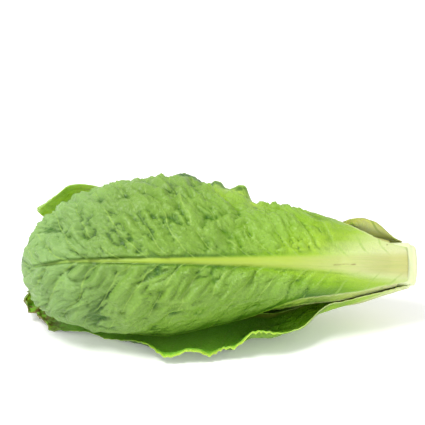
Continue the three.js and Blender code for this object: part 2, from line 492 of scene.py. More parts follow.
def shell_faces(rows: int, columns: int) -> Array:
    """Quads of a closed shell: an outer face, an inner face and the wall round them.

    Args:
        rows: number of rows of points.
        columns: number of points in a row.

    Returns:
        An array of four corner numbers for each quad. The outer face's points come first.
    """
    outer = np.arange(rows * columns).reshape(rows, columns)
    inner = outer + rows * columns

    def quads(a: Array, b: Array, c: Array, d: Array) -> Array:
        """Stacks four corner arrays into quads."""
        return np.stack([a.ravel(), b.ravel(), c.ravel(), d.ravel()], -1)

    return np.concatenate(
        [
            quads(outer[:-1, :-1], outer[:-1, 1:], outer[1:, 1:], outer[1:, :-1]),
            quads(inner[:-1, :-1], inner[1:, :-1], inner[1:, 1:], inner[:-1, 1:]),
            quads(outer[:-1, 0], outer[1:, 0], inner[1:, 0], inner[:-1, 0]),
            quads(inner[:-1, -1], inner[1:, -1], outer[1:, -1], outer[:-1, -1]),
            quads(inner[0, :-1], inner[0, 1:], outer[0, 1:], outer[0, :-1]),
            quads(outer[-1, :-1], outer[-1, 1:], inner[-1, 1:], inner[-1, :-1]),
        ]
    )


def make_object(
    name: str,
    points: Array,
    faces: Array,
    values: dict[str, Array],
    surface_map: Array | None,
    material: bpy.types.Material,
) -> bpy.types.Object:
    """Puts a mesh of quads into the scene, at the origin.

    Args:
        name: the object's name.
        points: vertices in metres, in the row frame.
        faces: four corner numbers for each quad.
        values: number per vertex for each attribute.
        surface_map: two coordinates per vertex for the UV map, or None.
        material: the finish.

    Returns:
        The new object, smooth shaded.
    """
    mesh = bpy.data.meshes.new(name)
    mesh.vertices.add(len(points))
    mesh.vertices.foreach_set("co", np.ascontiguousarray(points, np.float32).ravel())
    mesh.loops.add(faces.size)
    mesh.loops.foreach_set("vertex_index", faces.astype(np.int32).ravel())
    mesh.polygons.add(len(faces))
    mesh.polygons.foreach_set("loop_start", np.arange(0, faces.size, 4, dtype=np.int32))
    mesh.polygons.foreach_set("use_smooth", np.ones(len(faces), bool))
    mesh.update(calc_edges=True)
    for label, numbers in values.items():
        made = mesh.attributes.new(label, "FLOAT", "POINT")
        made.data.foreach_set("value", np.ascontiguousarray(numbers, np.float32).ravel())
    if surface_map is not None:
        layer = mesh.uv_layers.new(name="surface")
        layer.uv.foreach_set("vector", surface_map[faces.ravel()].astype(np.float32).ravel())
    mesh.validate()
    mesh.materials.append(material)
    made_object = bpy.data.objects.new(name, mesh)
    bpy.context.scene.collection.objects.link(made_object)
    return made_object


# ---------------------------------------------------------------- finishes

Colour = tuple[float, float, float]
Plug = bpy.types.NodeSocket | float | Colour


class Graph:
    """Builds a material's nodes by name."""

    spread = 1.8  # how far light goes in the tissue, in millimetres

    def __init__(self, name: str) -> None:
        """Starts an empty material of this name.

        Args:
            name: the material's name.
        """
        self.material = bpy.data.materials.new(name)
        self.material.use_nodes = True
        self.nodes = self.material.node_tree.nodes
        self.links = self.material.node_tree.links
        self.nodes.clear()

    def plug(self, value: Plug, socket: bpy.types.NodeSocket) -> None:
        """Links or sets an input.

        Args:
            value: an output to link, or a number or colour to set.
            socket: the input.
        """
        if isinstance(value, bpy.types.NodeSocket):
            self.links.new(value, socket)
        elif isinstance(value, tuple) and len(socket.default_value) == 4:
            socket.default_value = (*value, 1.0)
        else:
            socket.default_value = value

    def node(self, kind: str, inputs: dict[str | int, Plug], **settings: str) -> bpy.types.Node:
        """Adds a node.

        Args:
            kind: its type, without the prefix that all shader nodes share.
            inputs: a link or a value for each input, by the input's name or number.
            settings: the node's own settings.

        Returns:
            The new node.
        """
        node = self.nodes.new("ShaderNode" + kind)
        for key, setting in settings.items():
            setattr(node, key, setting)
        for key, value in inputs.items():
            self.plug(value, node.inputs[key])
        return node

    def value(self, label: str) -> bpy.types.NodeSocket:
        """Reads a number that the mesh holds at each vertex."""
        return self.node("Attribute", {}, attribute_name=label).outputs["Fac"]

    def place(self, stretch: tuple[float, ...] = (1.0, 1.0, 1.0)) -> bpy.types.NodeSocket:
        """The surface map, stretched."""
        source = self.node("UVMap", {}, uv_map="surface").outputs["UV"]
        return self.node("Mapping", {"Vector": source, "Scale": stretch}).outputs["Vector"]

    def position(self) -> bpy.types.NodeSocket:
        """Object coordinates."""
        return self.node("TexCoord", {}).outputs["Object"]

    def math(self, kind: str, a: Plug, b: Plug = 0.0) -> bpy.types.NodeSocket:
        """One step of arithmetic."""
        return self.node("Math", {0: a, 1: b}, operation=kind).outputs[0]

    def times(self, a: Plug, b: Plug) -> bpy.types.NodeSocket:
        """The product of two numbers."""
        return self.math("MULTIPLY", a, b)

    def step(self, value: Plug, low: float, high: float) -> bpy.types.NodeSocket:
        """A smooth step from 0 at low to 1 at high; low may be the larger.

        Args:
            value: what is measured.
            low: where the step is 0.
            high: where it is 1.

        Returns:
            The step, from 0 to 1.
        """
        first, last = (0.0, 1.0) if low < high else (1.0, 0.0)
        inputs = {"Value": value, "From Min": min(low, high), "From Max": max(low, high)}
        inputs |= {"To Min": first, "To Max": last}
        return self.node("MapRange", inputs, interpolation_type="SMOOTHSTEP").outputs["Result"]

    def blend(self, share: Plug, a: Plug, b: Plug) -> bpy.types.NodeSocket:
        """A blend of two colours."""
        return self.node("Mix", {0: share, 6: a, 7: b}, data_type="RGBA").outputs[2]

    def tint(self, colour: Plug, other: Plug, mask: Plug, strength: float) -> bpy.types.NodeSocket:
        """A colour blended towards another by a mask and a strength."""
        return self.blend(self.times(mask, strength), colour, other)

    def ramp(self, value: Plug, stops: tuple[tuple[float, Colour], ...]) -> bpy.types.NodeSocket:
        """Colours along a number from 0 to 1.

        Args:
            value: the number.
            stops: places from 0 to 1, each with its colour.

        Returns:
            The colour at the number.
        """
        node = self.node("ValToRGB", {"Fac": value})
        elements = node.color_ramp.elements
        while len(elements) < len(stops):
            elements.new(0.5)
        for element, (at, colour) in zip(elements, stops):
            element.position = at
            element.color = (*colour, 1.0)
        return node.outputs["Color"]

    def noise(self, vector: Plug, scale: float, detail: float) -> bpy.types.NodeSocket:
        """Cloudy noise from 0 to 1."""
        return self.node("TexNoise", {"Vector": vector, "Scale": scale, "Detail": detail}).outputs["Fac"]

    def cells(self, vector: Plug, scale: float, walls: bool) -> tuple[bpy.types.NodeSocket, ...]:
        """Irregular cells: the distance to their walls, or that to their middles and their random colour.

        Args:
            vector: where they are read.
            scale: cells in a unit of length.
            walls: True for the distance to walls.

        Returns:
            The distance, and without walls also the colour.
        """
        feature = "DISTANCE_TO_EDGE" if walls else "F1"
        node = self.node("TexVoronoi", {"Vector": vector, "Scale": scale}, feature=feature)
        return tuple(node.outputs[k] for k in (("Distance",) if walls else ("Distance", "Color")))

    def bump(self, height: Plug, strength: float, depth: float) -> bpy.types.NodeSocket:
        """Fine relief of a depth in metres."""
        inputs = {"Height": height, "Strength": strength, "Distance": depth}
        return self.node("Bump", inputs).outputs["Normal"]

    def finish(
        self,
        colour: Plug,
        roughness: Plug,
        normal: bpy.types.NodeSocket | None,
        glow: float,
        radius: Colour = (0.9, 1.0, 0.25),
        specular: float = 0.5,
    ) -> bpy.types.Material:
        """Ends in one surface shader.

        Args:
            colour: the surface's colour.
            roughness: how matt it is.
            normal: fine relief, or None.
            glow: how much light goes into the tissue and comes out near by.
            radius: how far red, green and blue light spread, as shares of the spread's length.
            specular: how strongly it shines.

        Returns:
            The material.
        """
        inputs = {
            "Base Color": colour,
            "Roughness": roughness,
            "Subsurface Weight": glow,
            "Subsurface Radius": radius,
            "Subsurface Scale": self.spread * MM,
            "Specular IOR Level": specular,
        }
        if normal is not None:
            inputs["Normal"] = normal
        shader = self.node("BsdfPrincipled", inputs)
        self.node("OutputMaterial", {"Surface": shader.outputs["BSDF"]})
        return self.material


@dataclass(frozen=True)
class LeafFinish:
    """Colours of a leaf from its base to its tip, of its midrib, veins, margin and faults, and the sheen and
    shade painted on its relief.
    """

    name: str
    blade: tuple[tuple[float, Colour], ...]
    rib: tuple[tuple[float, Colour], ...]
    bloom_and_sheen: Colour = (0.25, 0.41, 0.13)
    fresh_and_sheen: Colour = (0.22, 0.38, 0.05)
    mottle_and_shade: Colour = (0.026, 0.105, 0.002)
    edge: Colour = (0.30, 0.52, 0.04)
    vein: Colour = (0.28, 0.44, 0.075)
    inside: Colour = (0.05, 0.18, 0.008)
    brown: Colour = (0.13, 0.055, 0.02)
    pale_edge: Colour = (0.52, 0.62, 0.24)
    lining: float = 0.55
    glow: float = 0.12

    def material(self) -> bpy.types.Material:
        """Builds the leaf's surface.

        Returns:
            A material that reads the leaf's attributes and its surface map.
        """
        g = Graph(self.name)
        share, puff, on_rib = g.value("share"), g.value("puff"), g.value("rib")
        flat = g.place()
        cloud, mottle = g.noise(flat, 5.0, 3.0), g.noise(flat, 55.0, 3.0)
        bladed = g.step(share, 0.2, 0.4)
        # Pale patches and painted sheen: this colour tints random cloudy patches, and below it paints a sheen
        # on the crests of the relief.
        pale_patch_and_sheen = g.blend(g.step(share, 0.6, 0.92), self.fresh_and_sheen, self.bloom_and_sheen)
        colour = g.ramp(g.value("tone"), self.blade)
        colour = g.tint(colour, pale_patch_and_sheen, g.times(g.step(cloud, 0.45, 0.75), bladed), 0.45)
        # Random dark mottle, in the colour that below also paints shade into the hollows.
        colour = g.tint(colour, self.mottle_and_shade, g.times(g.step(mottle, 0.5, 0.8), bladed), 0.25)
        # Painted sheen on the crests of the relief and painted shade in its hollows, by how raised the relief
        # is (puff).
        colour = g.tint(colour, pale_patch_and_sheen, g.step(puff, 0.0, 0.9), 0.6)
        colour = g.tint(colour, self.mottle_and_shade, g.step(puff, 0.1, -0.6), 0.85)
        lined = g.times(g.value("inner_side"), g.step(share, 0.2, 0.5))
        colour = g.tint(colour, self.inside, lined, self.lining)
        rim = g.blend(g.step(share, 0.34, 0.2), self.edge, self.pale_edge)
        colour = g.tint(colour, rim, g.step(g.value("margin"), 0.3, 0.05), 0.8)
        # Secondary veins: narrow bands where the vein coordinate is a whole number, which come and go.
        beat = g.math("FRACT", g.math("ADD", g.value("xi"), 0.5))
        away = g.math("ABSOLUTE", g.math("SUBTRACT", beat, 0.5))
        at_vein = g.step(g.math("DIVIDE", away, g.value("vein_half")), 1.0, 0.35)
        at_vein = g.times(at_vein, g.step(g.noise(flat, 9.0, 2.0), 0.28, 0.55))
        colour = g.tint(colour, self.vein, at_vein, 0.55)
        colour = g.tint(colour, self.vein, g.value("net"), 0.2)
        # The midrib, with strands along it.
        strands = g.noise(g.place((34.0, 1.3, 1.0)), 3.0, 3.0)
        ribbed = g.tint(g.ramp(share, self.rib), self.vein, g.step(strands, 0.35, 0.75), 0.3)
        colour = g.blend(on_rib, colour, ribbed)
        # Faults: browned margins and tips, and a few rusty specks.
        browned = g.times(g.value("bruise"), g.step(g.noise(flat, 30.0, 4.0), 0.32, 0.62))
        colour = g.blend(browned, colour, self.brown)
        speck, random = g.cells(flat, 5.5, walls=False)
        spot = g.times(g.step(speck, 0.055, 0.03), g.step(random, 0.80, 0.84))
        colour = g.tint(colour, self.brown, spot, 0.7)
        # Fine relief: the smallest veins, and strands along the midrib.
        (walls,) = g.cells(flat, 42.0, walls=True)
        height = g.times(g.step(walls, 0.0, 0.22), g.math("SUBTRACT", 1.0, on_rib))
        height = g.math("ADD", height, g.times(strands, g.times(on_rib, 1.2)))
        height = g.math("ADD", height, g.times(mottle, 0.7))
        normal = g.bump(height, 0.5, 0.35 * MM)
        roughness = g.math("ADD", 0.30, g.times(cloud, 0.2))
        return g.finish(colour, roughness, normal, self.glow, specular=0.32)


@dataclass(frozen=True)
class StemFinish:
    """Colours of the cut stem."""

    name: str = "cut_stem"
    flesh: Colour = (0.74, 0.76, 0.50)
    pith: Colour = (0.80, 0.80, 0.60)
    rim: Colour = (0.58, 0.40, 0.20)
    skin: Colour = (0.68, 0.74, 0.42)

    def material(self) -> bpy.types.Material:
        """Builds the stem's surface.

        Returns:
            A material that reads the stem's attributes: ring, which is 0 in the middle of the cut and 1 at
            its rim, and cut, which is 1 on the cut face.
        """
        g = Graph(self.name)
        grain, cloud = (g.noise(g.position(), scale, 3.0) for scale in (900.0, 180.0))
        wobble = g.math("ADD", g.value("ring"), g.times(g.math("SUBTRACT", cloud, 0.5), 0.25))
        face = g.blend(g.step(wobble, 0.55, 0.75), self.pith, self.flesh)
        band = g.times(g.step(wobble, 0.62, 0.7), g.step(wobble, 0.8, 0.72))
        face = g.tint(face, self.rim, band, 0.45)
        face = g.tint(face, self.rim, g.step(wobble, 0.9, 1.0), 0.55)
        face = g.tint(face, self.rim, g.step(grain, 0.5, 0.8), 0.25)
        colour = g.blend(g.value("cut"), self.skin, face)
        normal = g.bump(g.math("ADD", grain, cloud), 0.5, 0.4 * MM)
        return g.finish(colour, 0.5, normal, 0.3, radius=(1.0, 1.0, 0.5))


# ---------------------------------------------------------------- the leaves


@dataclass(frozen=True)
class Sheet:
    """A leaf laid out on its grid, as arrays of the grid's shape, in millimetres."""

    share: Array
    across: Array
    along: Array
    spokes: Spokes
    depth: Array
    exposure: Array
    offset: Array
    rib_half: Array
    from_edge: Array

    @property
    def out(self) -> Array:
        """Distance from the midrib."""
        return np.abs(self.offset)

    @property
    def side(self) -> Array:
        """A number for each side of the leaf, which keeps their noises apart."""
        return np.where(self.across > 0, 0.0, 31.7)

    @property
    def bladed(self) -> Array:
        """How much a point belongs to the blade and not to the midrib or the base, from 0 to 1."""
        return smooth(self.out / self.rib_half, 0.6, 1.6) * smooth(self.share, 0.1, 0.36)

    @property
    def calm(self) -> Array:
        """How far the relief has grown back from the margin, from 0 to 1."""
        return smooth(self.from_edge, 1, 13)


@dataclass
class Leaf:
    """One leaf: its fields worked out on a grid of shares along it and across it, and its closed shell."""

    plan: LeafPlan
    head: Head
    stack: Stack
    finish: bpy.types.Material
    thin: float = 0.6
    lobe_depth: float = 0.028
    tooth_pitch: float = 5.3
    wander: float = 1.6
    tip_turn: float = -9.0
    furthest_laid: float = 30.0
    rib_foot: float = 1.4
    rib_spread: float = 11.6
    strand_height: float = 0.24
    vein_count: float = 16.0
    vein_lean: float = 0.42
    vein_bend: float = 13.0
    vein_wide: float = 0.8
    vein_thin: float = 0.32
    vein_ridge: float = 0.5
    crumple_along: float = 7.5
    crumple_across: float = 10.5
    sunk: float = 1.1
    ruffle_reach: float = 15.0

    @property
    def length(self) -> float:
        """The leaf's length along the outline."""
        return self.plan.end - self.plan.start

    def noise(self, x: Array, y: Array | float, layer: int) -> Array:
        """Smooth random hills of this leaf's own."""
        return wave_noise(x, y, 100 + self.plan.index * 7 + layer)

    def grid(self) -> tuple[Array, Array]:
        """Shares along the leaf and across it.

        Rows run from the base to the tip, and bow back towards both margins near the tip so that the last row
        is the rounded end of the leaf.

        Returns:
            Share along from 0 to 1, and across from -1 to 1, as two arrays.
        """
        t, v = np.meshgrid(
            np.linspace(0, 1, self.plan.rows), np.linspace(-1, 1, self.plan.columns), indexing="ij"
        )
        bow = self.plan.surface.tip_round * np.abs(v) ** 2.4 * smooth(t, 0.4, 1)
        return t * (1 - bow), v

    def sheet(self) -> Sheet:
        """Lays the leaf out: its cut margin, its place on the head and its distances.

        Slow lobes and small teeth that come and go cut the margin, and the midrib wanders a little.

        Returns:
            The sheet.
        """
        plan, stack = self.plan, self.stack
        share, v = self.grid()
        along = share * self.length
        station = plan.start + along
        side = np.where(v > 0, 0.0, 31.7)
        near_edge = smooth(np.abs(v), 0.8, 1)
        lobes = self.lobe_depth * self.noise(along / 21, side, 0) * (1 - smooth(share, 0.7, 0.85))
        teeth = plan.surface.teeth * (0.5 + 0.5 * self.noise(along / 16, side + 5, 1))
        wander = self.wander * self.noise(share * 3.2, 0.5, 3) * smooth(share, 0.1, 0.5)
        if plan.lift is Lift.CLOSE_OVER:
            teeth = teeth * (1 - smooth(share, 0.6, 0.7))
            wander = wander * (1 - smooth(share, 0.75, 0.9)) + self.tip_turn * smooth(share, 0.8, 1)
        beat = along / self.tooth_pitch + 0.6 * self.noise(along / 9, side, 2)
        teeth = teeth * np.abs(np.mod(beat, 1) - 0.5)
        half = plan.half_span(share, v > 0) * (1 + lobes * smooth(share, 0.1, 0.3) * near_edge)
        azimuth = plan.azimuth + v * half + wander
        reach = np.maximum(self.head.reach(self.head.spokes(station, azimuth)), 6)
        azimuth = azimuth - np.sign(v) * near_edge**4 * np.degrees(teeth * 2 / reach)
        from_edge = (1 - np.abs(v)) * np.radians(half) * reach
        return Sheet(
            share=share,
            across=v,
            along=along,
            spokes=self.head.spokes(station, azimuth),
            depth=stack.sample(stack.inner[plan.index], station, azimuth),
            exposure=stack.sample(stack.exposure[plan.index], station, azimuth),
            offset=np.radians(v * half) * reach,
            rib_half=self.rib_foot + plan.rib_scale * self.rib_spread * (1 - share) ** 2.3,
            from_edge=np.minimum(from_edge, (1 - share) * self.length + 2),
        )

    def lift(self, sheet: Sheet) -> tuple[Array, Array]:
        """How far the leaf stands off the leaf inside it, by the plan's kind of lift.

        Args:
            sheet: the leaf's grid.

        Returns:
            The lift in millimetres, and how far the leaf lies on the surface, from 0 to 1.
        """
        kind, share, across, depth = self.plan.lift, sheet.share, sheet.across, sheet.depth
        none = np.zeros_like(share)
        if kind is Lift.LAY_FLAT:
            front = smooth(across, -0.4, 0.15) * band(share, 0.24, 0.4, 0.62, 0.78)
            tip = smooth(share, 0.8, 0.94) * smooth(across, -0.9, -0.3)
            height = 6 * smooth(across, 0.72, 1) + self.plan.blade
            laid = np.minimum(sheet.spokes.to_height(height) - depth, self.furthest_laid)
            hug = smooth(across, 0.3, 0.9) * (1 - smooth(share, 0.2, 0.32))
            return np.maximum(laid, 0) * front + 8 * tip - 2 * hug, front
        if kind is Lift.CLOSE_OVER:
            margin = smooth(across, 0.6, 1) * band(share, 0.36, 0.44, 0.52, 0.7)
            short = np.maximum(self.head.reach(sheet.spokes) - 3 - depth, 0)
            return 4 * margin + short * smooth(share, 0.66, 0.9), none
        if kind is Lift.FLARE:
            neck = smooth(-across, 0.1, 1) * band(share, 0.01, 0.08, 0.1, 0.2)
            tip = smooth(share, 0.76, 0.92) * (1 - smooth(across, 0.3, 0.9))
            return 8 * neck + 17 * tip, none
        return none, none

    def veins(self, sheet: Sheet) -> tuple[Array, Array]:
        """The secondary veins, which leave the midrib steeply and then lean towards the tip.

        Args:
            sheet: the leaf's grid.

        Returns:
            A coordinate that is a whole number on each vein, and half a vein's width in that coordinate.
        """
        along, offset, out = sheet.along, sheet.offset, sheet.out
        source = along - self.vein_lean * out - self.vein_bend * (1 - np.exp(-out / 9))
        warp = 0.3 * self.noise(along / 36, offset / 26, 4)
        warp = warp + 0.09 * self.noise(along / 9, offset / 8, 14)
        xi = self.vein_count * (np.maximum(source, -60) / self.length) + warp
        wide = mix(self.vein_wide, self.vein_thin, smooth(out / 55, 0, 1))
        wide = wide * (0.35 + 0.65 * self.plan.rib_scale)
        return xi + np.where(sheet.across > 0, 0.0, 0.5), wide * self.vein_count / (0.82 * self.length)

    def quilt(self, sheet: Sheet, phase: Array) -> Array:
        """The quilt of the blade between the secondary veins.

        Args:
            sheet: the leaf's grid.
            phase: distance from the nearest vein, as a share of the step between them.

        Returns:
            Its height: a sine across each step to the power 1.4, which swells and sinks along the leaf.
        """
        swing = 0.55 + 0.75 * self.noise(sheet.along / 19, sheet.offset / 15, 10)
        if self.plan.lift is Lift.CLOSE_OVER:
            swing = swing * np.where(sheet.across > 0, 1.5, 2.5)
        height = np.sin(math.pi * phase) ** 1.4 * swing * self.plan.surface.quilt
        return height * sheet.bladed * (0.3 + 0.7 * sheet.calm)

    def crumples(self, sheet: Sheet) -> tuple[Array, Array]:
        """Rounded humps with sharp valleys of three sizes, drawn out along the secondary veins.

        Args:
            sheet: the leaf's grid.

        Returns:
            Their height, and how near the walls between small cells are, from 0 to 1.
        """
        along, offset = sheet.along, sheet.offset
        x = (along - 0.6 * sheet.out) / self.crumple_along + 0.5 * self.noise(along / 15, offset / 15, 5)
        y = (offset + 0.3 * along) / self.crumple_across + 0.5 * self.noise(along / 14, offset / 14, 15)
        folds = 1.5 * np.abs(self.noise(x, y, 6))
        folds = folds + 0.95 * np.abs(self.noise(x * 2.1 + 9, y * 2.1 + 9, 16))
        folds = folds + 0.5 * np.abs(self.noise(x * 4.3, y * 4.3, 17))
        wall = cell_noise(x * 1.5 + 40, y * 1.5 + 40, 118 + self.plan.index * 7)
        net = (1 - smooth(wall, 0.03, 0.12)) * sheet.bladed * smooth(sheet.share, 0.25, 0.5)
        return folds * self.plan.surface.pillow * sheet.bladed * (0.12 + 0.88 * sheet.calm), net

    def ruffles(self, sheet: Sheet) -> Array:
        """Height of the margin's waves, where no other leaf lies over it.

        Args:
            sheet: the leaf's grid.

        Returns:
            The sum of two sines, which grows with the square of the nearness to the margin.
        """
        surface, along, side = self.plan.surface, sheet.along, sheet.side
        curl = 1 - smooth(sheet.from_edge, 0, self.ruffle_reach)
        beat = along / surface.ruffle_length + 0.9 * self.noise(along / 27, side + 3, 8)
        wavy = 0.5 + 0.5 * np.sin(2 * math.pi * beat)
        fine = 0.5 + 0.5 * np.sin(2 * math.pi * beat * 2.7 + 1)
        strong = 0.55 + 0.45 * self.noise(along / 38, side + 9, 9)
        height = surface.ruffle * curl**2 * (0.75 * wavy + 0.25 * fine) * strong
        return height * sheet.exposure * smooth(sheet.share, 0.12, 0.35)

    def own_marks(self, sheet: Sheet, relief: Array, ruffle: Array) -> tuple[Array, Array, Array]:
        """What only this leaf has: its frills, crumples and browning.

        Args:
            sheet: the leaf's grid.
            relief: the relief so far.
            ruffle: the ruffles so far.

        Returns:
            The relief, the ruffles, and how browned the leaf is from 0 to 1.
        """
        share, v, along, offset = sheet.share, sheet.across, sheet.along, sheet.offset
        bruise = 0.25 * smooth(np.abs(v), 0.9, 1) * (self.noise(along / 11, np.sign(v), 20) > 0.55)
        if self.plan.lift is Lift.CLOSE_OVER:
            frill = smooth(v, 0.8, 1) ** 2 * band(share, 0.376, 0.394, 0.58, 0.64)
            lobes = 0.5 + 0.35 * np.sin(along / 3.4 + 2.2 * self.noise(along / 15, 0.0, 11))
            lobes = lobes + 0.3 * np.abs(self.noise(along / 2.6, 0.5, 19))
            peak = np.exp(-(((share - 0.406) / 0.022) ** 2))
            ruffle = ruffle * (1 - smooth(share, 0.62, 0.75)) + (5.5 * lobes + 7 * peak) * frill
            relief = relief * (1 - 0.75 * smooth(share, 0.86, 0.97))
            scratch = np.exp(-(((offset + 1 + 14 * (share - 0.162)) / 0.5) ** 2))
            bruise = np.maximum(bruise, 0.65 * scratch * (np.abs(share - 0.162) < 0.026))
        elif self.plan.lift is Lift.LAY_FLAT:
            turned = smooth(v, 0.35, 1) ** 1.5 * band(share, 0.2, 0.3, 0.4, 0.47)
            waves = np.sin(along / 4.6 + 2.4 * self.noise(along / 24, 0.5, 22))
            near = smooth(v, 0.6, 1) ** 2 * band(share, 0.42, 0.5, 0.7, 0.8)
            ruffle = ruffle * 0.5 + 13 * turned + (2.2 + 2.2 * waves) * near
            crumple = smooth(share, 0.84, 0.93)
            folds = np.abs(self.noise(along / 9, offset / 8, 12)) * 6
            folds = folds + 2.5 * np.abs(self.noise(along / 3.6, offset / 3.6, 13))
            relief = relief + folds * crumple
            bruise = np.maximum(bruise, crumple * 0.9 * smooth(v, -0.8, 0.2))
        elif self.plan.browned_neck:
            rim = smooth(-v, 0.94, 1) * (1 - smooth(share, 0.25, 0.45))
            bruise = np.maximum(bruise, 0.75 * rim)
        return relief, ruffle, bruise

    def tone(self, sheet: Sheet) -> Array:
        """The place of each point's colour between those of the base and the tip, from 0 to 1.

        Args:
            sheet: the leaf's grid.

        Returns:
            The share of the length, moved on off the midrib and along strands, and on the front leaf by
            painted shade on the lower side of its neck and a painted sheen on its upper side.
        """
        share, v, offset = sheet.share, sheet.across, sheet.offset
        tone = share + 0.10 * smooth(sheet.out, 8, 28) * (1 - smooth(share, 0.15, 0.45))
        tone = tone + 0.02 * self.noise(offset / 3, sheet.along / 60, 21) * (1 - smooth(share, 0.2, 0.5))
        if self.plan.lift is Lift.CLOSE_OVER:
            # Painted shade: the lower side of the neck is moved on to darker greens.
            tone = tone + 0.14 * smooth(-offset, 3, 20) * (1 - smooth(share, 0.25, 0.5))
            upper = smooth(v, 0.5, 0.9)
            # Painted sheen: the upper side, which faces the top light, is moved on to the paler, greyer tip
            # colours.
            tone = tone + 0.4 * upper * smooth(share, 0.48, 0.58)
            tone = tone - 0.2 * upper * band(share, 0.32, 0.38, 0.46, 0.56)
        return np.clip(tone, 0, 1)

    def build(self) -> bpy.types.Object:
        """Works out the leaf's surface and puts it in the scene.

        The depth of a point is the stack's, plus the leaf's own lift, plus the relief and the ruffles. The
        outer face adds the blade's and the midrib's thickness.

        Returns:
            The leaf's object.
        """
        plan, surface, sheet = self.plan, self.plan.surface, self.sheet()
        share, along, offset, bladed = sheet.share, sheet.along, sheet.offset, sheet.bladed
        xi, vein_half = self.veins(sheet)
        phase = np.abs(np.mod(xi + 0.5, 1) - 0.5)
        quilt = self.quilt(sheet, phase)
        crumple, net = self.crumples(sheet)
        ridge = self.vein_ridge * np.exp(-((phase / vein_half) ** 2)) * bladed
        hills = surface.roll * self.noise(along / 41, offset / 30, 7) * bladed
        strands = self.strand_height * self.noise(offset / 1.7, along / 55, 8) * (1 - smooth(share, 0.2, 0.5))
        relief = (quilt + crumple + hills) * (0.25 + 0.75 * sheet.exposure) + ridge + strands
        relief = relief - self.sunk * sheet.exposure * bladed
        relief, ruffle, bruise = self.own_marks(sheet, relief, self.ruffles(sheet))
        on_rib = sheet.out / sheet.rib_half
        rib = plan.rib_height_at(share) + 0.7 * smooth(share, 0.2, 0.5) * (1 - share)
        rib = rib * (1 - np.minimum(on_rib, 1) ** 2) ** 1.2 * mix(0.3, 1.0, smooth(along, 0, 26))
        lift, laid = self.lift(sheet)
        base = sheet.depth + lift + relief + ruffle * (1 - laid) + plan.blade
        thin = self.thin * (0.5 + 0.5 * smooth(sheet.from_edge, 0, 4))
        outer = sheet.spokes.point(base + rib)
        inner = sheet.spokes.point(base - thin)
        for face, lowest in ((outer, self.head.pressed), (inner, self.head.pressed + self.thin)):
            face[..., 2] = np.maximum(face[..., 2], lowest) + ruffle * laid
        coarse = surface.pillow * 0.45 + surface.quilt * 0.25
        fields = {
            "share": np.clip(share, 0, 1),
            "tone": self.tone(sheet),
            "rib": (1 - smooth(on_rib, 0.35, 0.95))
            * (0.55 + 0.45 * smooth(1 - share, 0.0, 0.4))
            * smooth(1 - share, 0.03, 0.16),
            "xi": xi,
            "vein_half": vein_half / np.maximum(bladed, 0.08) ** 0.2,
            "net": net,
            # How raised the relief is; the finish paints a sheen on its crests and shade in its hollows from
            # it.
            "puff": np.clip((quilt + crumple) / coarse - 0.9, -1, 1) * bladed,
            "margin": np.clip(sheet.from_edge / 9, 0, 1),
            "bruise": bruise,
        }
        values = {label: np.tile(numbers.ravel(), 2) for label, numbers in fields.items()}
        values["inner_side"] = np.repeat([0.0, 1.0], share.size)
        surface_map = np.stack([offset.ravel() / 100 + 0.37 * plan.index, along.ravel() / 100], -1)
        points = np.concatenate([outer.reshape(-1, 3), inner.reshape(-1, 3)])
        return make_object(
            "visual_" + plan.name,
            to_frame(points, self.head),
            shell_faces(*share.shape),
            values,
            np.concatenate([surface_map, surface_map]),
            self.finish,
        )


def to_frame(points: Array, head: Head) -> Array:
    """Moves points from the head's own place to the row frame, in metres.

    The cut face is at the stem's largest X, the axis is at the middle of the stem in Y, and the pressed
    underside is the surface.

    Args:
        points: places in millimetres, measured from the cut face.
        head: the head's sizes.

    Returns:
        Places in metres.
    """
    low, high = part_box("stem")
    shift = np.array([high.x, (low.y + high.y) / 2, -head.pressed * MM])
    return points * MM + shift


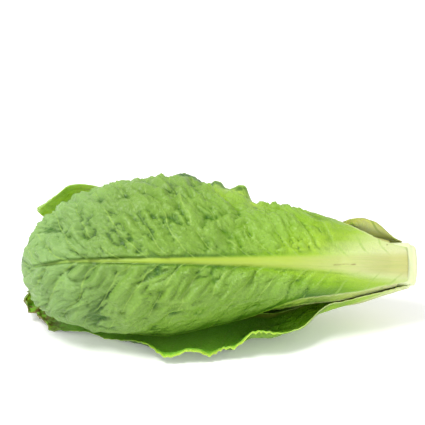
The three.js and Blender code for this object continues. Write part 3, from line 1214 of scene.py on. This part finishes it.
@dataclass
class Stem:
    """The cut stem: a polar grid from the middle of the cut face, round its rim, to the growing tip."""

    head: Head
    finish: bpy.types.Material
    face_rings: int = 26
    side_rings: int = 50
    sides: int = 120
    bevel: float = 1.4
    middle: float = 0.02
    collar: float = 1.8

    def surface(self) -> tuple[Array, Array, Array]:
        """Works out the rings of points.

        The face's radius grows evenly, with slow dents and raised rings. The side's radius is the head's stem
        radius, with a rounded rim, a collar that the outer leaves grow from, and shallow lobes where leaves
        were taken off.

        Returns:
            The points, each one's radius as a share of the stem's, and which are on the face.
        """
        head, face = self.head, self.face_rings
        angle = np.linspace(0, 2 * math.pi, self.sides, endpoint=False)
        step = np.linspace(0, 1, self.side_rings + 1)[1:]
        side = self.bevel + (head.stem_length - self.bevel) * step**1.4
        flat = np.linspace(0, 1, face) * (head.stem_radius - self.bevel)
        reach = np.concatenate([flat, head.stem_radius_at(side)])
        reach[[0, -1]] = self.middle
        r, a = np.meshgrid(reach, angle, indexing="ij")
        x = np.repeat(np.concatenate([np.zeros(face), side])[:, None], self.sides, 1)
        on_face = np.repeat((np.arange(len(reach)) < face)[:, None], self.sides, 1)
        collar = self.collar * band(x, 2.5, 6, 22, 40)
        r = r + np.where(on_face, 0.0, collar)
        lobes = 1 + 0.02 * np.cos(3 * a + 1) + 0.015 * np.cos(7 * a)
        r = r * np.where(r > 1, np.minimum(lobes, 1.02), 1.0)
        share = r / head.stem_radius
        dents = 0.35 * wave_noise(r * np.cos(a) / 4, r * np.sin(a) / 4, 5) + 0.25 * np.cos(share * 26)
        x = np.where(on_face, x + 0.5 + dents * 0.6 * (1 - smooth(share, 0.85, 0.95)), x)
        return np.stack([-x, -r * np.cos(a), head.axis_at(x) + r * np.sin(a)], -1), share, on_face

    def faces(self, rows: int) -> Array:
        """Quads between the rings, and quads that share the middle point of each end.

        Args:
            rows: the number of rings. The two middle points come after their points.

        Returns:
            Four corner numbers for each quad.
        """
        index = np.arange(rows * self.sides).reshape(rows, self.sides)
        after = np.roll(index, -1, 1)
        bands = [corners.ravel() for corners in (index[:-1], after[:-1], after[1:], index[1:])]
        even = np.arange(0, self.sides, 2)
        fan = [even, even + 1, (even + 2) % self.sides]
        near, far = (np.full(len(even), index.size + k) for k in (0, 1))
        near = [near, *(index[0][corner] for corner in fan[::-1])]
        far = [far, *(index[-1][corner] for corner in fan)]
        return np.concatenate([np.stack(quads, -1) for quads in (bands, near, far)])

    def build(self) -> bpy.types.Object:
        """Puts the stem in the scene, with a middle point added to each of its ends.

        Returns:
            The stem's object.
        """
        points, share, on_face = self.surface()
        middles = [points[row].mean(0)[None] for row in (0, -1)]
        return make_object(
            "visual_stem",
            to_frame(np.concatenate([points.reshape(-1, 3), *middles]), self.head),
            self.faces(len(points)),
            {
                "ring": np.append(share.ravel(), [0.0, 0.0]),
                "cut": np.append(on_face.astype(float).ravel(), [1.0, 0.0]),
            },
            None,
            self.finish,
        )


@dataclass
class Romaine:
    """The whole head: the plans of its leaves, their finishes and their meshes."""

    head: Head = field(default_factory=Head)
    leaf_count: int = 24
    golden_angle: float = 137.5

    def outer_plans(self) -> list[LeafPlan]:
        """The six outer leaves, which have been pushed about, outermost first.

        Returns:
            Their plans.
        """
        return [
            LeafPlan(
                "bottom_leaf", 0, -100, 276, Side(68, 63, 0.16, 0.34, 38), Side(36, 78, 0.15, 0.55),
                Lift.LAY_FLAT, rows=230, columns=150,
                surface=Surface(quilt=1.4, pillow=1.1, ruffle=5.5, ruffle_length=26, teeth=1.6),
            ),
            LeafPlan(
                "front_leaf", 1, 29, 290, Side(46, 92, 0.02, 0.3, 86), Side(46, 74, 0.26, 0.42, 90),
                Lift.CLOSE_OVER, bluntness=0.5, rows=236, columns=200,
                surface=Surface(quilt=1.6, pillow=2.7, ruffle=2.0, ruffle_length=15, teeth=1.3),
            ),
            LeafPlan(
                "top_leaf", 2, 140, 256, Side(38, 66, 0.2, 0.55), Side(34, 46, 0.2, 0.5, 30),
                Lift.FLARE, bluntness=0.6, rows=200, columns=120, browned_neck=True,
                surface=Surface(teeth=1.8, ruffle=3.4),
            ),
            LeafPlan(
                "back_leaf", 3, -155, 276, Side(38, 78, 0.2, 0.55), Side(40, 82, 0.15, 0.55),
                rows=200, columns=140,
            ),
            LeafPlan(
                "front_under_leaf", 4, 5, 262, Side(35, 85, 0.2, 0.55), Side(42, 60, 0.3, 0.6),
                rows=180, columns=120, browned_neck=True,
            ),
            LeafPlan(
                "back_under_leaf", 5, -118, 262, Side(36, 84, 0.2, 0.55), Side(36, 84, 0.2, 0.55),
                rows=170, columns=110,
            ),
        ]

    def heart_plan(self, index: int) -> LeafPlan:
        """A heart leaf: shorter, wrapped further round and lighter ribbed towards the middle.

        Args:
            index: its place in the stack.

        Returns:
            Its plan. The azimuths follow each other by the golden angle.
        """
        inward = (index - 6) / (self.leaf_count - 7)
        side = Side(40, mix(90, 112, inward), 0.15, 0.6)
        place = index - 5
        fineness = 1 - 0.62 * smooth(inward, 0.1, 0.9)
        return LeafPlan(
            f"heart_leaf_{place:02d}",
            index,
            -118 - self.golden_angle * place,
            mix(262, 128, inward**1.35),
            side,
            side,
            rib_scale=mix(0.7, 0.25, inward),
            rows=int(150 * fineness),
            columns=int(90 * fineness),
            surface=Surface(quilt=1.0, pillow=0.9, ruffle=2.0, teeth=0.8, roll=0.8),
        )

    def plans(self) -> list[LeafPlan]:
        """All plans, outermost first, with each leaf's end rounded to a row of the outline.

        Returns:
            The plans.
        """
        rough = self.outer_plans()
        rough += [self.heart_plan(i) for i in range(len(rough), self.leaf_count)]
        step = self.head.row_step
        return [replace(plan, end=round(plan.end / step) * step) for plan in rough]

    def finishes(self) -> dict[str, bpy.types.Material]:
        """The finish of the outer, the next and the heart leaves.

        Returns:
            A material for each look by its name.
        """
        rib = (
            (0.0, (0.50, 0.49, 0.18)),
            (0.12, (0.48, 0.51, 0.20)),
            (0.3, (0.36, 0.46, 0.06)),
            (0.6, (0.30, 0.42, 0.03)),
            (0.9, (0.27, 0.42, 0.06)),
        )
        outer = (
            (0.0, (0.62, 0.64, 0.34)),
            (0.12, (0.54, 0.64, 0.24)),
            (0.22, (0.33, 0.51, 0.04)),
            (0.34, (0.20, 0.38, 0.006)),
            (0.46, (0.088, 0.21, 0.006)),
            (0.72, (0.040, 0.105, 0.007)),
            (1.0, (0.16, 0.29, 0.07)),
        )
        # The top leaf's pale neck colours are painted lighter than the leaf is, as painted light that stands
        # in for light shining through its flaps.
        flap = (
            (0.0, (0.92, 0.93, 0.64)),
            (0.2, (0.80, 0.86, 0.36)),
            (0.4, (0.26, 0.46, 0.03)),
            (0.7, (0.12, 0.30, 0.015)),
            (1.0, (0.30, 0.50, 0.09)),
        )
        under = (
            (0.0, (0.64, 0.64, 0.34)),
            (0.2, (0.40, 0.52, 0.10)),
            (0.4, (0.30, 0.48, 0.05)),
            (0.7, (0.20, 0.39, 0.03)),
            (1.0, (0.26, 0.44, 0.06)),
        )
        heart = (
            (0.0, (0.72, 0.74, 0.48)),
            (0.3, (0.62, 0.68, 0.28)),
            (0.6, (0.46, 0.60, 0.12)),
            (1.0, (0.31, 0.50, 0.07)),
        )
        return {
            "outer": LeafFinish("outer_leaf_green", outer, rib).material(),
            # The bottom leaf's inner face (inside, lining) is painted lighter than the leaf is, as painted
            # light offsetting the head's shadow over it; its lime margin (edge) is its own colour, also
            # lifted against that shadow.
            "bottom": LeafFinish(
                "bottom_leaf_green", outer, rib, inside=(0.24, 0.55, 0.05), edge=(0.38, 0.60, 0.09),
                lining=0.9, glow=0.5,
            ).material(),
            # The top leaf's inner face (inside, lining) is painted light, standing in for light that shines
            # through the leaf.
            "top": LeafFinish(
                "top_leaf_green", flap, rib, inside=(0.50, 0.70, 0.15), lining=0.9, glow=0.8
            ).material(),
            "under": LeafFinish("under_leaf_green", under, rib).material(),
            "heart": LeafFinish("heart_leaf_yellow", heart, rib, mottle_and_shade=(0.30, 0.45, 0.06)).material(),
        }

    def build(self) -> None:
        """Builds the stem and every leaf, and says which CAD node each stands for."""
        plans = self.plans()
        stack = Stack(self.head, plans)
        finishes = self.finishes()
        stem = Stem(self.head, StemFinish().material()).build()
        self.register(stem, "stem")
        for plan in plans:
            look = "outer" if plan.index < 4 else "under" if plan.index < 9 else "heart"
            look = {Lift.FLARE: "top", Lift.LAY_FLAT: "bottom"}.get(plan.lift, look)
            leaf = Leaf(plan, self.head, stack, finishes[look]).build()
            self.register(leaf, plan.name)

    def register(self, piece: bpy.types.Object, node: str) -> None:
        """Rides a piece on the head, in place of a CAD node, and logs it.

        Args:
            piece: the visual piece.
            node: the CAD node it stands for.
        """
        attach(piece, "root")
        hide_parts(node)
        log.info("%s: %d faces for %s", piece.name, len(piece.data.polygons), node)


# ---------------------------------------------------------------- studio


@dataclass(frozen=True)
class Lamp:
    """A soft square light: its place and size in metres, and its power in watts."""

    name: str
    place: tuple[float, float, float]
    size: float
    power: float

    def build(self, target: Vector) -> None:
        """Hangs the light so that it faces the target.

        Args:
            target: the place it faces.
        """
        data = bpy.data.lights.new(self.name, "AREA")
        data.size = self.size
        data.energy = self.power
        lamp = bpy.data.objects.new(self.name, data)
        lamp.location = self.place
        lamp.rotation_euler = (Vector(self.place) - target).to_track_quat("Z", "Y").to_euler()
        bpy.context.scene.collection.objects.link(lamp)


@dataclass
class Studio:
    """A plain white sweep, soft lights and the camera, in metres."""

    floor_half: float = 3.0
    sweep_start: float = 1.6
    sweep_radius: float = 0.8
    wall_height: float = 3.0
    paper: Colour = (0.97, 0.97, 0.97)
    paper_glow: float = 0.14
    sky: float = 0.78
    sensor: float = 36.0
    elevation: float = 24.0
    distance: float = 1.35
    seen_width: float = 0.2846
    aim_right: float = -0.0047
    aim_up: float = 0.029
    lamps: tuple[Lamp, ...] = (
        Lamp("top_light", (-0.45, -0.4, 1.25), 0.5, 14.5),
        Lamp("front_light", (0.5, -1.4, 0.35), 0.9, 5),
        Lamp("left_light", (-1.3, -0.4, 0.6), 0.7, 3),
    )

    def backdrop(self) -> bpy.types.Object:
        """A sweep: a level floor, a quarter circle and a wall, drawn along X.

        Returns:
            The backdrop's object.
        """
        bend = np.linspace(0, math.pi / 2, 24)
        curve = self.sweep_start + self.sweep_radius * np.sin(bend)
        y = np.concatenate([[-self.floor_half], curve, [self.sweep_start + self.sweep_radius]])
        z = np.concatenate([[0.0], self.sweep_radius * (1 - np.cos(bend)), [self.wall_height]])
        across = np.array([-self.floor_half, self.floor_half])
        points = np.stack(np.broadcast_arrays(across, y[:, None], z[:, None]), -1)
        index = np.arange(len(y) * 2).reshape(-1, 2)
        faces = np.stack([index[:-1, 0], index[:-1, 1], index[1:, 1], index[1:, 0]], -1)
        material = Graph("white_paper").finish(self.paper, 0.45, None, 0.0, specular=0.25)
        shader = material.node_tree.nodes["Principled BSDF"]
        shader.inputs["Emission Color"].default_value = (1.0, 1.0, 1.0, 1.0)
        shader.inputs["Emission Strength"].default_value = self.paper_glow
        return make_object("backdrop", points.reshape(-1, 3), faces, {}, None, material)

    def camera(self, centre: Vector) -> None:
        """A long lens that looks along +Y and down at the head.

        Args:
            centre: the middle of the head.
        """
        tilt = math.radians(self.elevation)
        back = Vector((0, -math.cos(tilt), math.sin(tilt)))
        upwards = Vector((0, math.sin(tilt), math.cos(tilt)))
        aim = centre + upwards * self.aim_up + Vector((self.aim_right, 0, 0))
        data = bpy.data.cameras.new("camera")
        data.sensor_width = self.sensor
        data.lens = self.sensor * self.distance / self.seen_width
        camera = bpy.data.objects.new("camera", data)
        camera.location = aim + back * self.distance
        camera.rotation_euler = back.to_track_quat("Z", "Y").to_euler()
        bpy.context.scene.collection.objects.link(camera)
        bpy.context.scene.camera = camera

    def build(self, centre: Vector) -> None:
        """Sets up the sweep, the lights, the sky and the camera.

        Args:
            centre: the middle of the head.
        """
        self.backdrop()
        for lamp in self.lamps:
            lamp.build(centre)
        world = bpy.data.worlds.new("sky")
        world.use_nodes = True
        sky = world.node_tree.nodes["Background"]
        sky.inputs["Color"].default_value = (1.0, 1.0, 1.0, 1.0)
        sky.inputs["Strength"].default_value = self.sky
        bpy.context.scene.world = world
        bpy.context.scene.view_settings.view_transform = "Standard"
        self.camera(centre)


def main() -> None:
    """Builds the head and the studio."""
    logging.basicConfig(level=logging.INFO, format="%(message)s")
    Romaine().build()
    low, high = CAD_BOX
    Studio().build((low + high) / 2)


if __name__ == "__main__":
    main()
